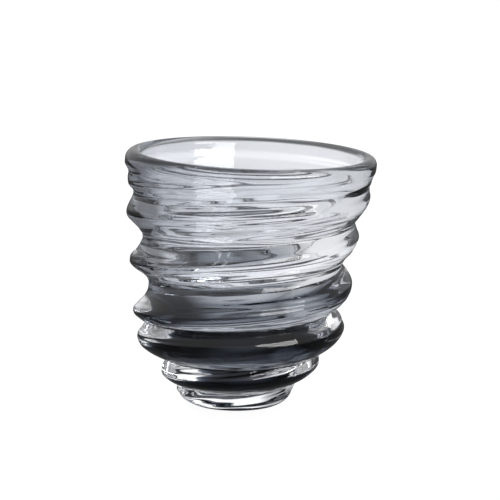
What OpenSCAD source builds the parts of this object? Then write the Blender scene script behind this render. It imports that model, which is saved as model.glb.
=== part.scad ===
// Whiskey tumbler in cased glass.
// A smoke-grey bowl is fused inside a clear casing. The casing carries one
// wavy rib that winds up from a small round foot and fades out in the rim.
// Millimetres, +Z up. The origin is the middle of the foot's flat underside.

/* [Overall] */
// Height of the rim's widest line, in the middle of the rim
rim_z = 98; // [88:0.5:110]
// Outside diameter of the rim
rim_d = 100; // [98:1:110]
// How far the middle of the rim leans towards +X
lean = 5.4; // [0:0.2:8]
// How much higher the rim stands at -X than in the middle
rim_tilt = 1.8; // [0:0.1:2.4]
// How much higher the rim stands at +Y than in the middle
rim_back = 0.7; // [0:0.1:1]

/* [Foot] */
// Diameter of the flat that the tumbler rests on
rest_d = 29; // [24:1:34]
// Height of the foot, where the casing starts
foot_h = 6.8; // [6.4:0.1:7]

/* [Rib] */
// Depth of the rib, as a share of its full depth
rib_depth = 1; // [0.2:0.1:1.1]
// How far below the rim the rib fades out
rib_fade = 6; // [3:0.5:12]

/* [Bowl] */
// Thickness of the rounded lip
lip_t = 6.5; // [5:0.5:7]
// Inside diameter of the bowl at its knee, where the side starts to round in
knee_d = 72.6; // [70:0.2:73]
// Height of the lowest point inside the bowl
bowl_floor = 17; // [15.5:0.5:20]
// Height of the lowest point of the smoke-grey glass
smoke_floor = 7.3; // [7.2:0.1:9]
// Thickness of the smoke-grey glass at the rim
smoke_rim_t = 2; // [1:0.1:2.4]
// Thickness of the smoke-grey glass at the knee
smoke_knee_t = 0.7; // [0.6:0.1:1]

/* [Hidden] */

// Smoothness: steps around, steps up the wall, and steps along the bowl
around = 72;
wall_steps = 60;
lip_steps = 4;
bowl_steps = 10;
side_steps = 5;

// The rib, every half turn, from one turn below the foot to one turn above the
// rim: [crest height, crest radius, groove height, groove radius, softness].
// The first entry is at -X, the next at +X, and so on up. Each groove lies just
// above its crest. A softness below 0.5 is a sharp cleft, and 1.3 is a wide dip.
RIB = [
    [-3, 23.5, 1, 23.5, 1],
    [3, 22.5, 5, 22.5, 1],
    [6, 24.3, 8.2, 23.4, 0.4],
    [9, 23, 10, 22.5, 0.4],
    [13.5, 30.5, 18.5, 28.5, 0.42],
    [17, 32.5, 21, 31.5, 0.42],
    [27.5, 40.5, 33.5, 36.5, 0.4],
    [31, 42, 39, 37, 0.45],
    [38, 42.5, 48.5, 36.8, 1.4],
    [48.5, 44.5, 57, 40, 0.8],
    [58.5, 45, 67.5, 40.4, 1.2],
    [67.5, 45.6, 73.5, 43.7, 0.7],
    [78, 47.5, 86, 45.4, 1],
    [83.5, 48.8, 86.8, 48.2, 1],
    [90.5, 48.2, 93.5, 48, 1],
    [97.5, 50, 101, 50, 1],
    [100, 50, 104, 50, 1],
    [106, 50, 109, 50, 1],
    [112, 50, 115, 50, 1]
];
// The sizes that the list above is written for
RIB_RIM_Z = 98;
RIB_RIM_R = 50;
CREST_Z = 0;
CREST_R = 1;
GROOVE_Z = 2;
GROOVE_R = 3;
SOFTNESS = 4;

rim_r = rim_d / 2;
lip_r = lip_t / 2;
// Where the two glasses part on top of the lip, from its outer side
part_angle = acos((lip_r - lip_t + smoke_rim_t) / lip_r);

// Both bowls narrow in a straight line to the knee and end in one Bezier
// curve: [radius, height] of the knee, of two handles, and of the lowest point
knee_r = knee_d / 2;
knee_z = 60;
handle_r = 25;
handle_z = 34;
INSIDE = [[knee_r, knee_z], [handle_r, handle_z], [15, bowl_floor], [0, bowl_floor]];
OUTSIDE = [
    [knee_r + smoke_knee_t, knee_z],
    [handle_r + smoke_knee_t, handle_z],
    [22, smoke_floor],
    [0, smoke_floor]
];

// Smooth curve through the values in one column of RIB, at t turns from -X
function rib_at(t, column) =
    let (
        last = len(RIB) - 1,
        place = min(max(2 * (t + 1), 0), last),
        i = min(floor(place), last - 1),
        f = place - i,
        p0 = RIB[max(i - 1, 0)][column],
        p1 = RIB[i][column],
        p2 = RIB[i + 1][column],
        p3 = RIB[min(i + 2, last)][column]
    )
    p1 + 0.5 * f * (p2 - p0
        + f * (2 * p0 - 5 * p1 + 4 * p2 - p3
        + f * (3 * (p1 - p2) + p3 - p0)));

function crest_z(t) = rib_at(t, CREST_Z) * rim_z / RIB_RIM_Z;
function groove_z(t) = rib_at(t, GROOVE_Z) * rim_z / RIB_RIM_Z;
function crest_r(t) = rib_at(t, CREST_R) * rim_r / RIB_RIM_R;
function groove_r(t) = crest_r(t)
    - rib_depth * (crest_r(t) - rib_at(t, GROOVE_R) * rim_r / RIB_RIM_R);

// Shape of the rib's side: 1 on the crest, 0 in the groove
function side(u, softness) = pow(0.5 + 0.5 * cos(180 * u), softness);

// Blend from 0 to 1 with level ends
function ease(u) = let (v = min(max(u, 0), 1)) v * v * (3 - 2 * v);

// Middle of the leaning body at height z
function middle(z) = lean * pow(z / rim_z, 2);

// Height of the rim's widest line at a share s of a turn from -X
function rim_at(s) = rim_z + rim_tilt * cos(360 * s) - rim_back * sin(360 * s);

// Outside radius of the ribbed wall at a share s of a turn and height z
function ribbed_r(s, z) =
    let (
        below = [for (k = [-1 : 7]) if (crest_z(k + s) <= z) k],
        t = s + (len(below) == 0 ? -1 : below[len(below) - 1]),
        over = z > groove_z(t),
        from_z = over ? crest_z(t + 1) : crest_z(t),
        from_r = over ? crest_r(t + 1) : crest_r(t),
        u = min(max((z - from_z) / (groove_z(t) - from_z), 0), 1)
    )
    groove_r(t) + (from_r - groove_r(t)) * side(u, rib_at(t, SOFTNESS));

// Outside radius of the wall, where the rib fades out below the rim
function wall_r(s, z) =
    let (fade = ease((z - rim_at(s) + rib_fade) / rib_fade))
    ribbed_r(s, z) * (1 - fade) + rim_r * fade;

// Point at a share s of a turn, on the leaning body
function at(s, r, z) = [
    middle(z) + r * cos(180 + 360 * s),
    r * sin(180 + 360 * s),
    z
];

// Point on the rounded lip, where angle 0 is its outer side
function lip_point(s, angle) = at(
    s,
    rim_r - lip_r + lip_r * cos(angle),
    rim_at(s) + lip_r * sin(angle)
);

// Rings of points, each a full turn
function shares() = [for (i = [0 : around - 1]) i / around];

function wall_rings() = [
    for (j = [0 : wall_steps])
        [for (s = shares())
            let (z = foot_h + (rim_at(s) - foot_h) * j / wall_steps)
            at(s, wall_r(s, z), z)]
];

function lip_rings(from_angle, to_angle, steps) = [
    for (j = [1 : steps])
        [for (s = shares()) lip_point(s, from_angle + (to_angle - from_angle) * j / steps)]
];

// Point at a share t along a Bezier curve
function bezier(curve, t) =
    pow(1 - t, 3) * curve[0] + 3 * t * pow(1 - t, 2) * curve[1]
    + 3 * t * t * (1 - t) * curve[2] + pow(t, 3) * curve[3];

// Rings down a bowl, from an angle on the lip, to just above its lowest point
function bowl_rings(curve, top_angle) =
    concat(
        [for (j = [1 : side_steps])
            [for (s = shares())
                let (
                    down = j / side_steps,
                    top_z = rim_at(s) + lip_r * sin(top_angle),
                    top_r = rim_r - lip_r + lip_r * cos(top_angle)
                )
                at(s, top_r + (curve[0][0] - top_r) * down, top_z + (knee_z - top_z) * down)]],
        [for (j = [1 : bowl_steps - 1])
            let (p = bezier(curve, j / bowl_steps))
            [for (s = shares()) at(s, p[0], p[1])]]
    );

// Closed solid through rings, with a point in the middle of each end
module through(rings, first, last) {
    count = len(rings);
    points = concat([for (ring = rings) each ring], [first, last]);
    function p(j, i) = j * around + i % around;
    first_p = count * around;
    faces = concat(
        [for (i = [0 : around - 1]) [first_p, p(0, i), p(0, i + 1)]],
        [for (j = [0 : count - 2], i = [0 : around - 1]) [p(j, i), p(j + 1, i), p(j + 1, i + 1)]],
        [for (j = [0 : count - 2], i = [0 : around - 1]) [p(j, i), p(j + 1, i + 1), p(j, i + 1)]],
        [for (i = [0 : around - 1]) [first_p + 1, p(count - 1, i + 1), p(count - 1, i)]]
    );
    polyhedron(points, faces, convexity = 12);
}

// Bottom of the clear glass: a bun with a flat underside
module foot() {
    rest_r = rest_d / 2;
    belly_z = crest_z(0);
    belly_r = crest_r(0);
    top_r = ribbed_r(0.5, foot_h);
    color([0.85, 0.87, 0.9, 0.5])
        rotate_extrude($fn = 96)
            polygon(concat(
                [[0, 0]],
                [for (a = [0 : 15 : 90])
                    [rest_r + (belly_r - rest_r) * sin(a), belly_z * (1 - cos(a))]],
                [[top_r, foot_h], [0, foot_h]]
            ));
}

// Clear outer glass with the winding rib
module clear_casing() {
    color([0.78, 0.8, 0.84, 0.5])
        through(
            concat(
                wall_rings(),
                lip_rings(0, part_angle, lip_steps),
                bowl_rings(OUTSIDE, part_angle)
            ),
            [middle(foot_h), 0, foot_h],
            [middle(smoke_floor), 0, smoke_floor]
        );
}

// Smoke-grey inner glass that holds the drink
module smoke_bowl() {
    outer = bowl_rings(OUTSIDE, part_angle);
    rising = [for (j = [len(outer) - 1 : -1 : 0]) outer[j]];
    color([0.25, 0.26, 0.29, 0.8])
        through(
            concat(
                rising,
                lip_rings(part_angle, part_angle, 1),
                lip_rings(part_angle, 180, lip_steps),
                bowl_rings(INSIDE, 180)
            ),
            [middle(smoke_floor), 0, smoke_floor],
            [middle(bowl_floor), 0, bowl_floor]
        );
}

foot();
clear_casing();
smoke_bowl();
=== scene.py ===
import math

import bpy
import numpy as np
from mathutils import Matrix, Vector


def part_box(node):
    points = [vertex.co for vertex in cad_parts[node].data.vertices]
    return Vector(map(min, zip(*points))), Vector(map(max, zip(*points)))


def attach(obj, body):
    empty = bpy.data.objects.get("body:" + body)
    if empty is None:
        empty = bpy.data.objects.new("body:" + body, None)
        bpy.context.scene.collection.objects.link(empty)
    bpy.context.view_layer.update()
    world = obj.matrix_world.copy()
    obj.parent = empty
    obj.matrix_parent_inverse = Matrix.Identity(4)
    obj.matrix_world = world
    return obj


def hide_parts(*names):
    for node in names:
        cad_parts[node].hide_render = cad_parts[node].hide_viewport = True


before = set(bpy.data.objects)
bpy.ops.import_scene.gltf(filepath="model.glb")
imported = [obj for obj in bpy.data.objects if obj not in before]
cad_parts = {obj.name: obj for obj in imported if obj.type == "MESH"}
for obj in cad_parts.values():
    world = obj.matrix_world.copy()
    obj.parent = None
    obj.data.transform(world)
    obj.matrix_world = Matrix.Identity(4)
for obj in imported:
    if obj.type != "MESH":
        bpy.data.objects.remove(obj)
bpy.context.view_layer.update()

# ---------------------------------------------------------------- sizes, in millimetres
MM = 0.001
CASING_LOW, CASING_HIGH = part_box("clear_casing")

# Rim: outside radius, lip thickness, and height of the widest line in the middle of the rim.
# It stands higher at -X by RIM_TILT and at +Y by RIM_BACK, and its middle leans to +X by LEAN.
RIM_R = (CASING_HIGH.y - CASING_LOW.y) / 2 / MM
LIP_R = 3.25
LIP_T = 2 * LIP_R
RIM_Z = 98.0
RIM_TILT = 1.8
RIM_BACK = 0.7
LEAN = 5.4

# Foot: radius of the flat it rests on, and height of its widest line at -X and at +X
REST_R = 14.5
BELLY_Z_LEFT = 6.0
BELLY_Z_RIGHT = 9.0

# How far below the rim the rib fades out
RIB_FADE = 6.0

# The winding rib, every half turn from one turn below the foot: crest height, crest radius,
# groove height, groove radius, softness. It is the same list as in the CAD source.
RIB = np.array([
    [-3, 23.5, 1, 23.5, 1],
    [3, 22.5, 5, 22.5, 1],
    [6, 24.3, 8.2, 23.4, 0.4],
    [9, 23, 10, 22.5, 0.4],
    [13.5, 30.5, 18.5, 28.5, 0.42],
    [17, 32.5, 21, 31.5, 0.42],
    [27.5, 40.5, 33.5, 36.5, 0.4],
    [31, 42, 39, 37, 0.45],
    [38, 42.5, 48.5, 36.8, 1.4],
    [48.5, 44.5, 57, 40, 0.8],
    [58.5, 45, 67.5, 40.4, 1.2],
    [67.5, 45.6, 73.5, 43.7, 0.7],
    [78, 47.5, 86, 45.4, 1],
    [83.5, 48.8, 86.8, 48.2, 1],
    [90.5, 48.2, 93.5, 48, 1],
    [97.5, 50, 101, 50, 1],
    [100, 50, 104, 50, 1],
    [106, 50, 109, 50, 1],
    [112, 50, 115, 50, 1],
], dtype=float)
CREST_Z, CREST_R, GROOVE_Z, GROOVE_R, SOFTNESS = range(5)

# Fine ridges on the wall, between the turns of the rib: height, pitch, and how many wind up
FINE_RIDGE = dict(height=0.08, pitch=2.6, starts=8)
BROAD_RIDGE = dict(height=0.18, pitch=6.5, starts=3)

# Both bowls narrow in a straight line to the knee and end in one Bezier curve: knee radius and
# height, the curve's handle below the knee, the radius of its handle at the floor, and the floor.
CAVITY = dict(knee=(36.3, 60.0), handle=(25.0, 34.0), flat=15.0, floor=17.0)
SMOKE = dict(knee=(37.0, 60.0), handle=(25.7, 34.0), flat=22.0, floor=7.3)

# Smoke-grey glass: thickness at the rim, gap to the clear glass, and shift of its outer side
SMOKE_RIM_T = 2.0
INSET = 0.05
SMOKE_SHIFT = -0.5

# Steps around the body, up the wall, over half the lip, down a bowl's side, along its curve
AROUND = 240
WALL_ROWS = 300
LIP_ROWS = 12
SMOKE_LIP_ROWS = 9
SIDE_ROWS = 30
FLOOR_ROWS = 40

# ---------------------------------------------------------------- glass
GLASS_IOR = 1.5

# Fine cords drawn in the clear glass: metres between them, how many wind up, how far they
# wander, and their height. Dimples are so many times higher.
CORD_WAVE = 0.004
CORD_STARTS = 5
CORD_WANDER = 14
CORD_HEIGHT = 0.000015
DIMPLE = 8.0
ROUGHEST = 0.002
CLEAR_WARM = (1, 1, 1, 1)
CLEAR_COOL = (0.985, 0.992, 1, 1)

# The smoke-grey glass: its colour and density, and the faint bands in it
SMOKE_COLOUR = (0.30, 0.34, 0.40, 1)
SMOKE_DENSITY = 350.0
SMOKE_THICK = (0.98, 0.985, 0.99, 1)
SMOKE_THIN = (1, 1, 1, 1)

# ---------------------------------------------------------------- studio, in metres
# Grey levels of the room by height of the direction, from -1 straight down to 1 straight up,
# as seen through the glass and as mirrored by it
THROUGH = [
    (-1, 0.77), (-0.95, 0.7), (-0.8, 0.1), (-0.5, 0.1), (-0.35, 0.77), (-0.12, 0.77), (0.05, 1.0),
    (0.2, 0.87), (0.4, 0.12), (0.7, 0.5), (1, 0.5),
]
REFLECTED = [(-1, 0.1), (-0.1, 0.1), (0.1, 0.6), (1, 0.65)]
BRIGHT = 1.35
COOLNESS = 1.02

# A grey flag behind and to the left, and a broad glow on the right. Each has a direction, the
# cosine of its half width, half the softness of its edge, and its grey level.
FLAG = dict(direction=(-0.75, 0.66, 0.0), edge=0.88, soft=0.06, grey=0.45)
GLOW = dict(direction=(0.75, 0.6, -0.25), edge=0.7, soft=0.15, grey=0.82)

FLOOR_SIZE = 4.0
FLOOR_Z = -0.0002
FLOOR_BASE = 0.12
FLOOR_ROUGHNESS = 0.6
FLOOR_SEEN = 0.93

SOFTBOX_SPOT = Vector((0.90, -1.0, 0.45))
SOFTBOX_AIM = Vector((0, 0, 0.05))
SOFTBOX_WIDTH = 1.2
SOFTBOX_HEIGHT = 0.5
SOFTBOX_WATTS = 12

CAMERA_SPOT = Vector((0.005, -0.9, 0.212))
CAMERA_AIM = Vector((0.005, 0, 0.062))
CAMERA_LENS = 164.9
CAMERA_SENSOR = 36


# ---------------------------------------------------------------- shape of the glass
# A share is a part of a turn around the body, counted from -X.
def rib_at(turn, column):
    """Smooth curve through one column of RIB, at a number of turns from -X."""
    last = len(RIB) - 1
    place = np.clip(2 * (turn + 1), 0, last)
    i = np.minimum(np.floor(place).astype(int), last - 1)
    f = place - i
    p0 = RIB[np.maximum(i - 1, 0), column]
    p1 = RIB[i, column]
    p2 = RIB[i + 1, column]
    p3 = RIB[np.minimum(i + 2, last), column]
    curve = 3 * (p1 - p2) + p3 - p0
    curve = 2 * p0 - 5 * p1 + 4 * p2 - p3 + f * curve
    return p1 + 0.5 * f * (p2 - p0 + f * curve)


def ease(u):
    """Blend from 0 to 1 with level ends."""
    v = np.clip(u, 0, 1)
    return v * v * (3 - 2 * v)


def wave(turns):
    return np.sin(2 * math.pi * turns)


def middle(z):
    """Middle of the leaning body at height z."""
    return LEAN * (z / RIM_Z) ** 2


def rim_at(share):
    """Height of the rim's widest line."""
    turn = 2 * math.pi * share
    return RIM_Z + RIM_TILT * np.cos(turn) - RIM_BACK * np.sin(turn)


def ribbed_radius(share, z):
    """Outside radius of the ribbed wall."""
    turn = np.full(z.shape, -1.0) + share
    for k in range(len(RIB) // 2 - 1):
        turn = np.where(rib_at(k + share, CREST_Z) <= z, k + share, turn)
    groove_z = rib_at(turn, GROOVE_Z)
    groove_r = rib_at(turn, GROOVE_R)
    over = z > groove_z
    crest_turn = np.where(over, turn + 1, turn)
    crest_z = rib_at(crest_turn, CREST_Z)
    crest_r = rib_at(crest_turn, CREST_R)
    u = np.clip((z - crest_z) / (groove_z - crest_z), 0, 1)
    side = (0.5 + 0.5 * np.cos(math.pi * u)) ** rib_at(turn, SOFTNESS)
    return groove_r + (crest_r - groove_r) * side


def ridge(share, z, spec, wander):
    """Height of one set of winding ridges. Their lines wander by so many radians."""
    turns = z / spec["pitch"] - spec["starts"] * share
    return spec["height"] * np.sin(2 * math.pi * turns + wander)


def ripple(share, z):
    """Fine drawn ridges in the glass, which wind up the wall with the rib."""
    swell = 0.6 + 0.4 * wave(z / 29 + 2 * share)
    fine = ridge(share, z, FINE_RIDGE, 1.5 * wave(z / 17 + share))
    broad = ridge(share, z, BROAD_RIDGE, 2.0 * wave(z / 31 - 2 * share))
    return swell * (fine + broad)


def outer_radius(share, z):
    """Outside radius of the wall and the foot."""
    fade = ease((z - rim_at(share) + RIB_FADE) / RIB_FADE)
    radius = (ribbed_radius(share, z) + ripple(share, z)) * (1 - fade) + RIM_R * fade
    towards_right = 0.5 * (1 - np.cos(2 * math.pi * share))
    belly = BELLY_Z_LEFT + (BELLY_Z_RIGHT - BELLY_Z_LEFT) * towards_right
    under = np.clip(1 - z / belly, 0, 1)
    return REST_R + (radius - REST_R) * np.sqrt(1 - under ** 2)


def on_body(share, radius, z):
    """Points on the leaning body, one for each share."""
    angle = math.pi + 2 * math.pi * share
    flat = 0 * share
    return np.stack([middle(z) + radius * np.cos(angle), radius * np.sin(angle), z + flat], axis=-1)


def shares():
    return np.arange(AROUND) / AROUND


def outer_rings():
    """Rings from the edge of the rest face up to the rim's widest line."""
    share = shares()
    rings = []
    for j in range(WALL_ROWS + 1):
        # Rows crowd a little towards the foot's rounded edge
        part = j / WALL_ROWS
        crowding = 0.009 * math.sin(math.pi * min(part * 8, 1.0))
        z = rim_at(share) * (part - crowding)
        rings.append(on_body(share, outer_radius(share, z), z))
    return rings


def lip_ring(angle, inset=0.0):
    """Ring on the rounded lip, where angle 0 is its outer side."""
    share = shares()
    radius = RIM_R - LIP_R + (LIP_R - inset) * math.cos(angle) + 0 * share
    return on_body(share, radius, rim_at(share) + (LIP_R - inset) * math.sin(angle))


def bezier(points, t):
    weights = np.array([(1 - t) ** 3, 3 * t * (1 - t) ** 2, 3 * t * t * (1 - t), t ** 3])
    return weights @ points


def bowl_rings(curve, top_angle, extra=0.0, shift=0.0):
    """Rings down a bowl to just above its floor, wider by extra and moved along X by shift."""
    share = shares()
    top_r = RIM_R - LIP_R + LIP_R * math.cos(top_angle) + extra
    top_z = rim_at(share) + LIP_R * math.sin(top_angle)
    knee_r = curve["knee"][0] + extra
    knee_z = curve["knee"][1]
    rings = []
    for j in range(1, SIDE_ROWS + 1):
        down = j / SIDE_ROWS
        radius = top_r + (knee_r - top_r) * down
        z = top_z + (knee_z - top_z) * down
        rings.append(on_body(share, radius, z) + np.array([shift, 0, 0]))
    handle_r, handle_z = curve["handle"]
    floor = curve["floor"] - extra
    points = np.array([(knee_r, knee_z), (handle_r + extra, handle_z), (curve["flat"], floor), (0, floor)])
    for j in range(1, FLOOR_ROWS):
        t = j / FLOOR_ROWS
        radius, z = bezier(points, t)
        rings.append(on_body(share, radius, z) + np.array([shift * (1 - t), 0, 0]))
    return rings


def solid(name, rings, first, last, material):
    """Closed smooth mesh through rings, with a fan to a point at each end."""
    verts = np.concatenate(rings + [[first], [last]]) * MM
    count = len(rings)
    first_index = count * AROUND
    last_index = first_index + 1
    end = (count - 1) * AROUND
    faces = []
    for i in range(AROUND):
        after = (i + 1) % AROUND
        faces.append((first_index, i, after))
        faces.append((last_index, end + after, end + i))
    for low in range(0, end, AROUND):
        high = low + AROUND
        for i in range(AROUND):
            after = (i + 1) % AROUND
            faces.append((low + i, high + i, high + after, low + after))
    mesh = bpy.data.meshes.new(name)
    mesh.from_pydata(verts.tolist(), [], faces)
    mesh.flip_normals()
    mesh.polygons.foreach_set("use_smooth", [True] * len(mesh.polygons))
    mesh.materials.append(material)
    mesh.update()
    piece = bpy.data.objects.new(name, mesh)
    bpy.context.scene.collection.objects.link(piece)
    return piece


# ---------------------------------------------------------------- materials
def new_material(name):
    material = bpy.data.materials.new(name)
    material.use_nodes = True
    nodes = material.node_tree.nodes
    nodes.clear()
    output = nodes.new("ShaderNodeOutputMaterial")
    shader = nodes.new("ShaderNodeBsdfPrincipled")
    material.node_tree.links.new(shader.outputs["BSDF"], output.inputs["Surface"])
    return material, nodes, material.node_tree.links, shader, output


def math_node(nodes, links, operation, first, second=0):
    """One Math node. Each input is a number or another node's output."""
    node = nodes.new("ShaderNodeMath")
    node.operation = operation
    for socket, value in zip(node.inputs, (first, second)):
        if isinstance(value, (int, float)):
            socket.default_value = value
        else:
            links.new(value, socket)
    return node.outputs[0]


def winding_phase(nodes, links, coords, wavelength, starts):
    """Phase of a wave that winds up the body with the rib, with so many starts."""
    split = nodes.new("ShaderNodeSeparateXYZ")
    links.new(coords, split.inputs[0])
    angle = math_node(nodes, links, "ARCTAN2", split.outputs["Y"], split.outputs["X"])
    rise = math_node(nodes, links, "MULTIPLY", split.outputs["Z"], 2 * math.pi / wavelength)
    around = math_node(nodes, links, "MULTIPLY", angle, starts)
    return math_node(nodes, links, "SUBTRACT", rise, around)


def noise(nodes, links, coords, scale, stretch, detail):
    """Noise whose patches are longer around the body than they are high."""
    mapping = nodes.new("ShaderNodeMapping")
    mapping.inputs["Scale"].default_value = (1, 1, stretch)
    links.new(coords, mapping.inputs["Vector"])
    texture = nodes.new("ShaderNodeTexNoise")
    texture.inputs["Scale"].default_value = scale
    texture.inputs["Detail"].default_value = detail
    links.new(mapping.outputs["Vector"], texture.inputs["Vector"])
    return texture.outputs["Fac"]


def spread(nodes, links, value, low, high):
    """Map the middle of a noise to the range from low to high."""
    node = nodes.new("ShaderNodeMapRange")
    node.inputs["From Min"].default_value = 0.35
    node.inputs["From Max"].default_value = 0.65
    node.inputs["To Min"].default_value = low
    node.inputs["To Max"].default_value = high
    links.new(value, node.inputs["Value"])
    return node.outputs["Result"]


def tint(nodes, links, value, first, second):
    """Blend two colours by a noise."""
    blend = nodes.new("ShaderNodeMix")
    blend.data_type = "RGBA"
    blend.inputs["A"].default_value = first
    blend.inputs["B"].default_value = second
    links.new(spread(nodes, links, value, 0, 1), blend.inputs["Factor"])
    return blend.outputs["Result"]


def clear_glass():
    """Hand-drawn glass: fine winding cords, soft dimples, and a faint uneven polish."""
    material, nodes, links, shader, output = new_material("clear_glass")
    shader.inputs["IOR"].default_value = GLASS_IOR
    shader.inputs["Transmission Weight"].default_value = 1.0
    coords = nodes.new("ShaderNodeTexCoord").outputs["Object"]
    patches = noise(nodes, links, coords, 30, 3, 2)
    phase = winding_phase(nodes, links, coords, CORD_WAVE, CORD_STARTS)
    wander = math_node(nodes, links, "MULTIPLY", patches, CORD_WANDER)
    cords = math_node(nodes, links, "SINE", math_node(nodes, links, "ADD", phase, wander))
    strength = spread(nodes, links, noise(nodes, links, coords, 22, 2, 1), 0, 1)
    cords = math_node(nodes, links, "MULTIPLY", cords, strength)
    dimples = noise(nodes, links, coords, 70, 1.5, 1)
    dimples = math_node(nodes, links, "MULTIPLY", dimples, DIMPLE)
    bump = nodes.new("ShaderNodeBump")
    bump.inputs["Strength"].default_value = 1.0
    bump.inputs["Distance"].default_value = CORD_HEIGHT
    links.new(math_node(nodes, links, "ADD", cords, dimples), bump.inputs["Height"])
    links.new(bump.outputs["Normal"], shader.inputs["Normal"])
    polish = noise(nodes, links, coords, 90, 2, 4)
    links.new(spread(nodes, links, polish, 0.0, ROUGHEST), shader.inputs["Roughness"])
    links.new(tint(nodes, links, patches, CLEAR_WARM, CLEAR_COOL), shader.inputs["Base Color"])
    return material


def smoke_glass():
    """Smoke-grey glass: it darkens with depth, and its colour is drawn out in faint bands."""
    material, nodes, links, shader, output = new_material("smoke_glass")
    # It touches the clear glass, so nothing bends between the two
    shader.inputs["IOR"].default_value = 1.0
    shader.inputs["Roughness"].default_value = 0.0
    shader.inputs["Transmission Weight"].default_value = 1.0
    coords = nodes.new("ShaderNodeTexCoord").outputs["Object"]
    bands = noise(nodes, links, coords, 24, 9, 3)
    links.new(tint(nodes, links, bands, SMOKE_THICK, SMOKE_THIN), shader.inputs["Base Color"])
    absorb = nodes.new("ShaderNodeVolumeAbsorption")
    absorb.inputs["Color"].default_value = SMOKE_COLOUR
    absorb.inputs["Density"].default_value = SMOKE_DENSITY
    links.new(absorb.outputs["Volume"], output.inputs["Volume"])
    return material


def floor_white():
    material, nodes, links, shader, output = new_material("floor_white")
    shader.inputs["Base Color"].default_value = (FLOOR_BASE, FLOOR_BASE, FLOOR_BASE, 1)
    shader.inputs["Roughness"].default_value = FLOOR_ROUGHNESS
    shader.inputs["Emission Color"].default_value = (1, 1, 1, 1)
    shader.inputs["Emission Strength"].default_value = FLOOR_SEEN
    return material


# ---------------------------------------------------------------- pieces
def make_clear_glass():
    """The casing and the foot in one: outer wall, lip, and the cavity inside."""
    rings = outer_rings()
    for j in range(1, 2 * LIP_ROWS + 1):
        rings.append(lip_ring(math.pi * j / (2 * LIP_ROWS)))
    rings += bowl_rings(CAVITY, math.pi)
    floor = CAVITY["floor"]
    piece = solid("clear_glass", rings, (0, 0, 0), (middle(floor), 0, floor), clear_glass())
    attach(piece, "root")
    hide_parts("foot", "clear_casing")


def make_smoke_glass():
    """The smoke-grey bowl, from the top of the lip down, just inside the clear glass."""
    part_angle = math.acos((LIP_R - LIP_T + SMOKE_RIM_T) / LIP_R)
    rings = bowl_rings(SMOKE, part_angle, shift=SMOKE_SHIFT)[::-1]
    for j in range(SMOKE_LIP_ROWS):
        share_of_lip = j / (SMOKE_LIP_ROWS - 1)
        rings.append(lip_ring(part_angle + (math.pi - part_angle) * share_of_lip, INSET))
    rings += bowl_rings(CAVITY, math.pi, extra=INSET)
    under = SMOKE["floor"]
    inside = CAVITY["floor"]
    first = (middle(under), 0, under)
    last = (middle(inside), 0, inside - INSET)
    piece = solid("smoke_glass", rings, first, last, smoke_glass())
    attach(piece, "root")
    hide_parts("smoke_bowl")


# ---------------------------------------------------------------- studio
def make_floor():
    corners = [(-1, -1), (1, -1), (1, 1), (-1, 1)]
    mesh = bpy.data.meshes.new("floor")
    mesh.from_pydata([(FLOOR_SIZE * x, FLOOR_SIZE * y, 0) for x, y in corners], [], [(0, 1, 2, 3)])
    mesh.materials.append(floor_white())
    floor = bpy.data.objects.new("floor", mesh)
    floor.location.z = FLOOR_Z
    bpy.context.scene.collection.objects.link(floor)
    # The glass shows the room and not the floor, as on a clear stand
    floor.visible_transmission = False
    floor.visible_glossy = False


def ray_switch(nodes, links, seen, mirrored, through):
    """Mix three shaders by how a ray set out: from the camera, off a surface, or through glass."""
    path = nodes.new("ShaderNodeLightPath")
    bounced = nodes.new("ShaderNodeMixShader")
    links.new(path.outputs["Is Reflection Ray"], bounced.inputs["Fac"])
    links.new(through.outputs[0], bounced.inputs[1])
    links.new(mirrored.outputs[0], bounced.inputs[2])
    direct = nodes.new("ShaderNodeMixShader")
    links.new(path.outputs["Is Camera Ray"], direct.inputs["Fac"])
    links.new(bounced.outputs[0], direct.inputs[1])
    links.new(seen.outputs[0], direct.inputs[2])
    return direct


def height_ramp(nodes, links, height, stops):
    """Grey levels by height of the direction looked in, from -1 to 1."""
    ramp = nodes.new("ShaderNodeValToRGB")
    spread_out = nodes.new("ShaderNodeMapRange")
    spread_out.inputs["From Min"].default_value = -1.0
    links.new(height, spread_out.inputs["Value"])
    links.new(spread_out.outputs["Result"], ramp.inputs["Fac"])
    elements = ramp.color_ramp.elements
    while len(elements) < len(stops):
        elements.new(0.5)
    for element, (at, grey) in zip(elements, stops):
        element.position = (at + 1) / 2
        element.color = (grey, grey, grey * COOLNESS, 1)
    return ramp.outputs["Color"]


def disc(nodes, links, coords, spec, outside, inside):
    """A soft round area of the room, around a direction."""
    toward = nodes.new("ShaderNodeVectorMath")
    toward.operation = "DOT_PRODUCT"
    toward.inputs[1].default_value = spec["direction"]
    links.new(coords, toward.inputs[0])
    area = nodes.new("ShaderNodeMapRange")
    area.interpolation_type = "SMOOTHSTEP"
    area.inputs["From Min"].default_value = spec["edge"] - spec["soft"]
    area.inputs["From Max"].default_value = spec["edge"] + spec["soft"]
    area.inputs["To Min"].default_value = outside
    area.inputs["To Max"].default_value = inside
    links.new(toward.outputs["Value"], area.inputs["Value"])
    return area.outputs["Result"]


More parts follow.
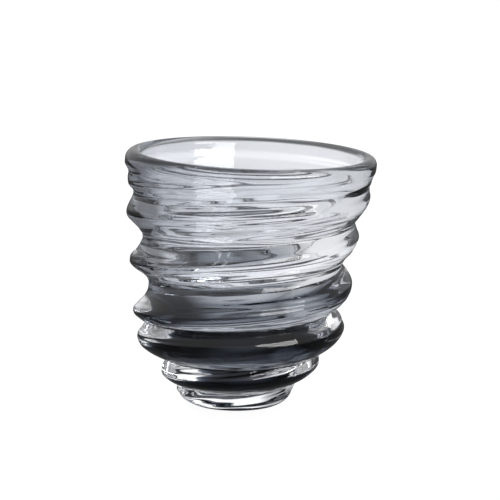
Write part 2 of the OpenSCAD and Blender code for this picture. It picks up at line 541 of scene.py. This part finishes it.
def make_world():
    world = bpy.data.worlds.new("studio")
    bpy.context.scene.world = world
    world.use_nodes = True
    nodes = world.node_tree.nodes
    links = world.node_tree.links
    nodes.clear()
    output = nodes.new("ShaderNodeOutputWorld")
    coords = nodes.new("ShaderNodeTexCoord").outputs["Generated"]
    split = nodes.new("ShaderNodeSeparateXYZ")
    links.new(coords, split.inputs[0])
    lit = nodes.new("ShaderNodeMix")
    lit.data_type = "RGBA"
    lit.blend_type = "LIGHTEN"
    lit.inputs["Factor"].default_value = 1.0
    links.new(height_ramp(nodes, links, split.outputs["Z"], THROUGH), lit.inputs["A"])
    links.new(disc(nodes, links, coords, GLOW, 0.0, GLOW["grey"]), lit.inputs["B"])
    room = nodes.new("ShaderNodeBackground")
    links.new(lit.outputs["Result"], room.inputs["Color"])
    flag = disc(nodes, links, coords, FLAG, BRIGHT, BRIGHT * FLAG["grey"])
    links.new(flag, room.inputs["Strength"])
    white = nodes.new("ShaderNodeBackground")
    white.inputs["Color"].default_value = (1, 1, 1, 1)
    mirrored = nodes.new("ShaderNodeBackground")
    links.new(height_ramp(nodes, links, split.outputs["Z"], REFLECTED), mirrored.inputs["Color"])
    switch = ray_switch(nodes, links, white, mirrored, room)
    links.new(switch.outputs[0], output.inputs["Surface"])


def place(obj, spot, aim):
    """Stand an object at spot, facing aim, and add it to the scene."""
    obj.location = spot
    obj.rotation_euler = (aim - spot).to_track_quat("-Z", "Y").to_euler()
    bpy.context.scene.collection.objects.link(obj)


def make_softbox():
    light = bpy.data.lights.new("softbox", "AREA")
    light.shape = "RECTANGLE"
    light.size = SOFTBOX_WIDTH
    light.size_y = SOFTBOX_HEIGHT
    light.energy = SOFTBOX_WATTS
    place(bpy.data.objects.new("softbox", light), SOFTBOX_SPOT, SOFTBOX_AIM)


def make_camera():
    data = bpy.data.cameras.new("camera")
    data.sensor_width = CAMERA_SENSOR
    data.lens = CAMERA_LENS
    camera = bpy.data.objects.new("camera", data)
    place(camera, CAMERA_SPOT, CAMERA_AIM)
    bpy.context.scene.camera = camera


def set_light_paths():
    """Enough bounces for nested glass, and noise removal that doesn't trust the glass's normals."""
    scene = bpy.context.scene
    scene.view_settings.view_transform = "Standard"
    scene.cycles.max_bounces = 24
    scene.cycles.transmission_bounces = 24
    scene.cycles.glossy_bounces = 12
    scene.cycles.volume_bounces = 4
    scene.cycles.transparent_max_bounces = 24
    scene.cycles.use_denoising = True
    scene.cycles.denoising_input_passes = "RGB"


make_camera()
make_world()
make_softbox()
make_floor()
make_clear_glass()
make_smoke_glass()
set_light_paths()
